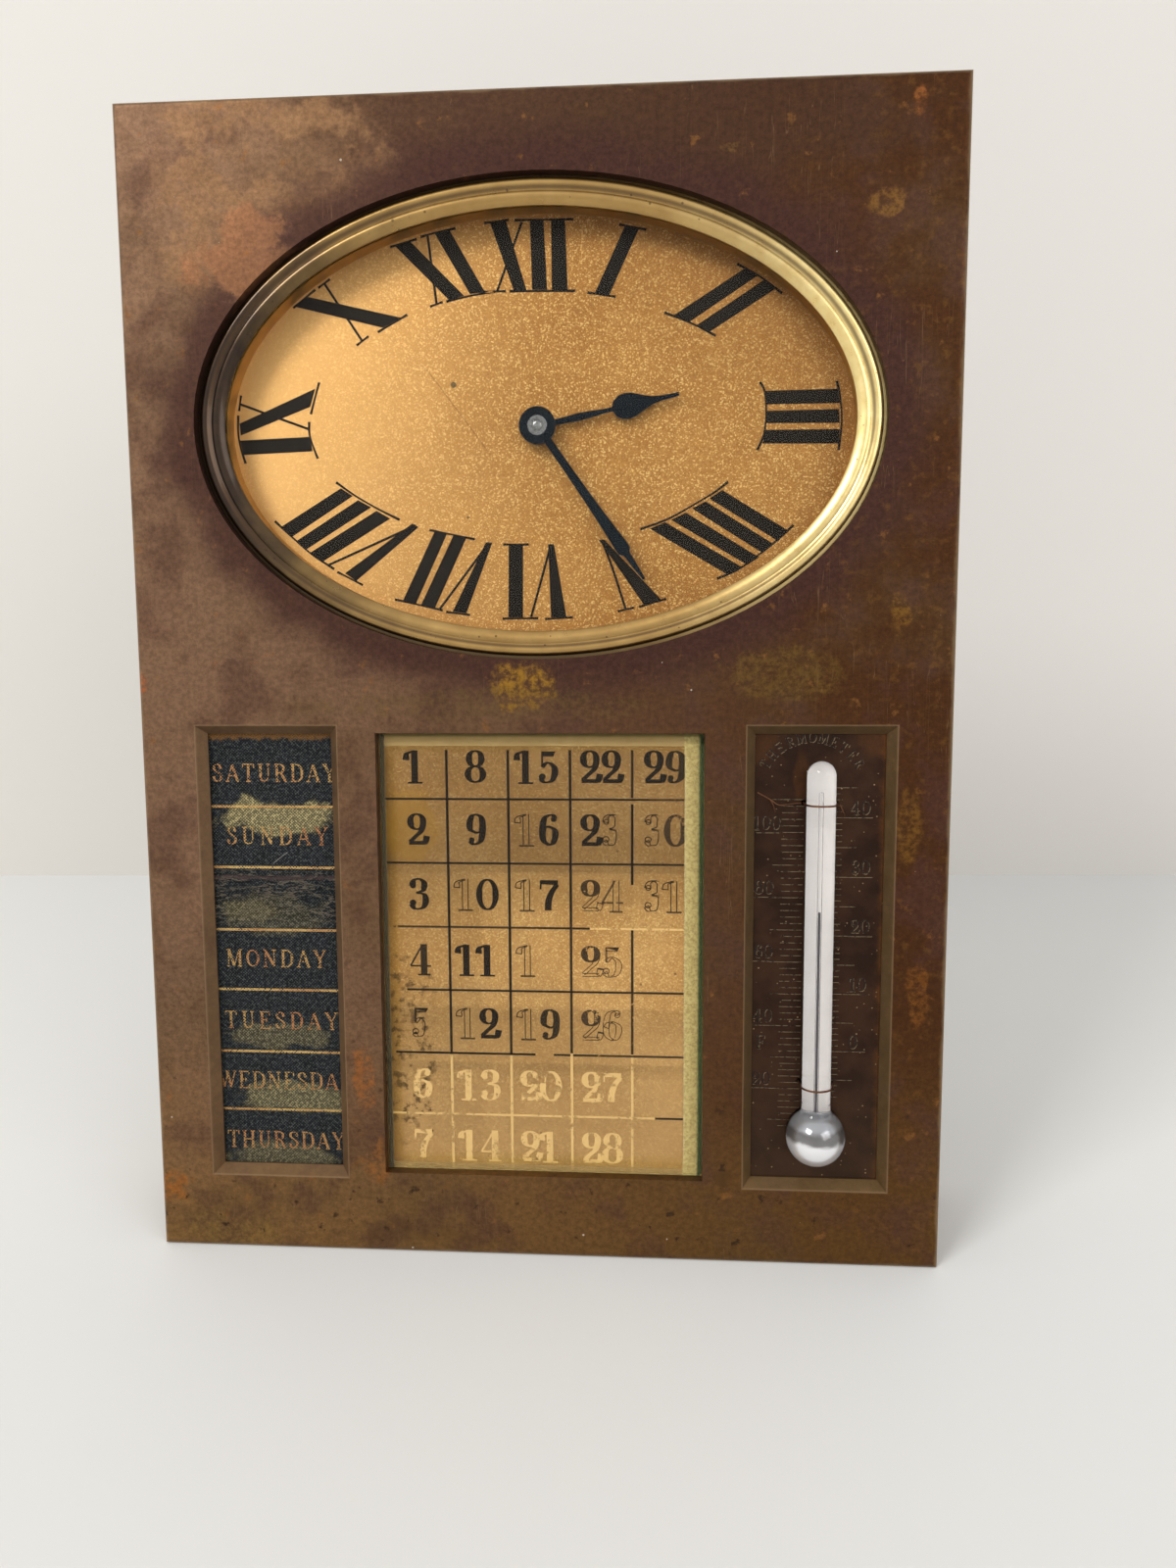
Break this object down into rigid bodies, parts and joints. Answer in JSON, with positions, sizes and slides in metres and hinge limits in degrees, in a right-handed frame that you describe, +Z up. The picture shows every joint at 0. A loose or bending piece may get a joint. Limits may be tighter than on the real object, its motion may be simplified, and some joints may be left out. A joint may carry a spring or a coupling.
{
  "type": "desk clock with calendar",
  "caption": "Leaning desk clock with an oval dial, a day belt on rollers, a date card under bevelled glass and a thermometer, held up by a rear strut.",
  "frame": {"origin": "middle of the case's flat base, where the clock stands", "axes": "+Z up, the front faces -Y and leans back, +X to the right as seen from the front"},
  "size_m": [0.128, 0.0713, 0.1791],
  "materials": {
    "cast_bronze": "cast bronze, brown patina, satin",
    "sheet_bronze": "rolled bronze, dull",
    "bezel_brass": "turned brass, lacquered and worn",
    "clear_glass": "clear, polished",
    "pane_glass": "bevelled, faintly green",
    "opal_glass": "opal white",
    "gilt_dial": "matte gilt with fine grain",
    "gilt_card": "gilt, worn",
    "blued_steel": "blued",
    "belt_cloth": "book cloth, worn",
    "roller_wood": "turned, unvarnished",
    "scale_bronze": "dark patina, engraved",
    "mercury": "mirror-bright",
    "copper_wire": "bare copper wire, tarnished",
    "fitting_brass": "turned brass",
    "movement_brass": "grained brass",
    "movement_steel": "polished steel",
    "spring_steel": "tempered blue"
  },
  "bodies": {
    "root": {"front_case": "cast_bronze", "oval_bezel": "bezel_brass", "dial_glass": "clear_glass", "sight_ring": "bezel_brass", "dial": "gilt_dial", "day_belt": "belt_cloth", "roller_frame": "fitting_brass", "date_pane": "pane_glass", "date_card": "gilt_card", "date_tray": "sheet_bronze", "scale_plate": "scale_bronze", "thermometer_tube": "opal_glass", "mercury": "mercury", "tube_wires": "copper_wire", "rear_cover": "sheet_bronze", "cover_screws": "fitting_brass", "hinge_bracket": "sheet_bronze", "hinge_pin": "fitting_brass", "movement_straps": "movement_brass", "strap_screws": "movement_brass", "movement_front_plate": "movement_brass", "movement_back_plate": "movement_brass", "pillars": "movement_brass", "click_spring": "spring_steel", "hairspring": "spring_steel"},
    "minute": {"minute_hand": "blued_steel", "cannon_pinion": "movement_steel", "centre_arbor": "movement_steel", "setting_knob": "fitting_brass"},
    "hour": {"hour_hand": "blued_steel", "hour_wheel": "movement_brass"},
    "motion_wheel": {"minute_wheel": "movement_brass"},
    "fourth": {"fourth_wheel": "movement_brass"},
    "third": {"third_wheel": "movement_brass"},
    "centre": {"centre_wheel": "movement_brass"},
    "escape": {"escape_wheel": "movement_brass"},
    "mainspring_barrel": {"barrel": "movement_brass", "barrel_cover": "movement_brass", "mainspring": "spring_steel"},
    "winder": {"barrel_arbor": "movement_steel", "ratchet_wheel": "movement_steel", "winding_key": "fitting_brass"},
    "click": {"click": "movement_steel"},
    "lever": {"lever": "movement_steel"},
    "balance": {"balance": "movement_brass"},
    "thumbwheel": {"thumbwheel": "fitting_brass"},
    "upper_roller": {"upper_roller": "roller_wood", "upper_axle": "fitting_brass"},
    "lower_roller": {"lower_roller": "roller_wood", "lower_axle": "fitting_brass"},
    "strut": {"strut": "sheet_bronze"}
  },
  "joints": [
    {"name": "hands_turn", "type": "hinge", "parent": "root", "child": "minute", "pos_m": [0, 0.03139, 0.12849], "axis": [0, 0.9848, -0.1736], "continuous": true},
    {"name": "hour_turn", "type": "hinge", "parent": "root", "child": "hour", "pos_m": [0, 0.03139, 0.12849], "axis": [0, 0.9848, -0.1736], "continuous": true},
    {"name": "motion_wheel_turn", "type": "hinge", "parent": "root", "child": "motion_wheel", "pos_m": [0.00831, 0.03056, 0.12376], "axis": [0, 0.9848, -0.1736], "continuous": true},
    {"name": "fourth_turn", "type": "hinge", "parent": "root", "child": "fourth", "pos_m": [0.008, 0.02934, 0.11685], "axis": [0, 0.9848, -0.1736], "continuous": true},
    {"name": "third_turn", "type": "hinge", "parent": "root", "child": "third", "pos_m": [0.00947, 0.03079, 0.1251], "axis": [0, 0.9848, -0.1736], "continuous": true},
    {"name": "centre_turn", "type": "hinge", "parent": "root", "child": "centre", "pos_m": [0, 0.03139, 0.12849], "axis": [0, 0.9848, -0.1736], "continuous": true},
    {"name": "escape_turn", "type": "hinge", "parent": "root", "child": "escape", "pos_m": [0.0003, 0.02934, 0.11685], "axis": [0, 0.9848, -0.1736], "continuous": true},
    {"name": "barrel_turn", "type": "hinge", "parent": "root", "child": "mainspring_barrel", "pos_m": [-0.00843, 0.03348, 0.14035], "axis": [0, 0.9848, -0.1736], "continuous": true},
    {"name": "winding_turn", "type": "hinge", "parent": "root", "child": "winder", "pos_m": [-0.00843, 0.03348, 0.14035], "axis": [0, 0.9848, -0.1736], "continuous": true},
    {"name": "click_lift", "type": "hinge", "parent": "root", "child": "click", "pos_m": [-0.01614, 0.03397, 0.14311], "axis": [0, -0.9848, 0.1736], "range_deg": [0, 12], "stiffness_Nm_per_rad": 0.0001, "springref_deg": -5.73},
    {"name": "lever_rock", "type": "hinge", "parent": "root", "child": "lever", "pos_m": [-0.00468, 0.0296, 0.11835], "axis": [0, 0.9848, -0.1736], "range_deg": [-4, 4]},
    {"name": "balance_swing", "type": "hinge", "parent": "root", "child": "balance", "pos_m": [-0.01252, 0.03002, 0.12071], "axis": [0, 0.9848, -0.1736], "range_deg": [-150, 150], "stiffness_Nm_per_rad": 0.000003},
    {"name": "day_wheel_turn", "type": "hinge", "parent": "root", "child": "thumbwheel", "pos_m": [-0.057, 0.02109, 0.08593], "axis": [1, 0, 0], "continuous": true},
    {"name": "upper_roller_turn", "type": "hinge", "parent": "root", "child": "upper_roller", "pos_m": [-0.057, 0.01026, 0.08784], "axis": [1, 0, 0], "continuous": true},
    {"name": "lower_roller_turn", "type": "hinge", "parent": "root", "child": "lower_roller", "pos_m": [-0.057, -0.00368, 0.00876], "axis": [1, 0, 0], "continuous": true},
    {"name": "strut_fold", "type": "hinge", "parent": "root", "child": "strut", "pos_m": [0, 0.03367, 0.10575], "axis": [1, 0, 0], "range_deg": [-22, 0]}
  ],
  "couplings": [
    {"joint": "hour_turn", "follows": "hands_turn", "ratio": 0.083333},
    {"joint": "motion_wheel_turn", "follows": "hands_turn", "ratio": -0.33333},
    {"joint": "third_turn", "follows": "fourth_turn", "ratio": -0.13333},
    {"joint": "centre_turn", "follows": "fourth_turn", "ratio": 0.016667},
    {"joint": "barrel_turn", "follows": "fourth_turn", "ratio": -0.0027778},
    {"joint": "escape_turn", "follows": "fourth_turn", "ratio": -10},
    {"joint": "upper_roller_turn", "follows": "day_wheel_turn", "ratio": -2.1429},
    {"joint": "lower_roller_turn", "follows": "day_wheel_turn", "ratio": -2.1429}
  ]
}
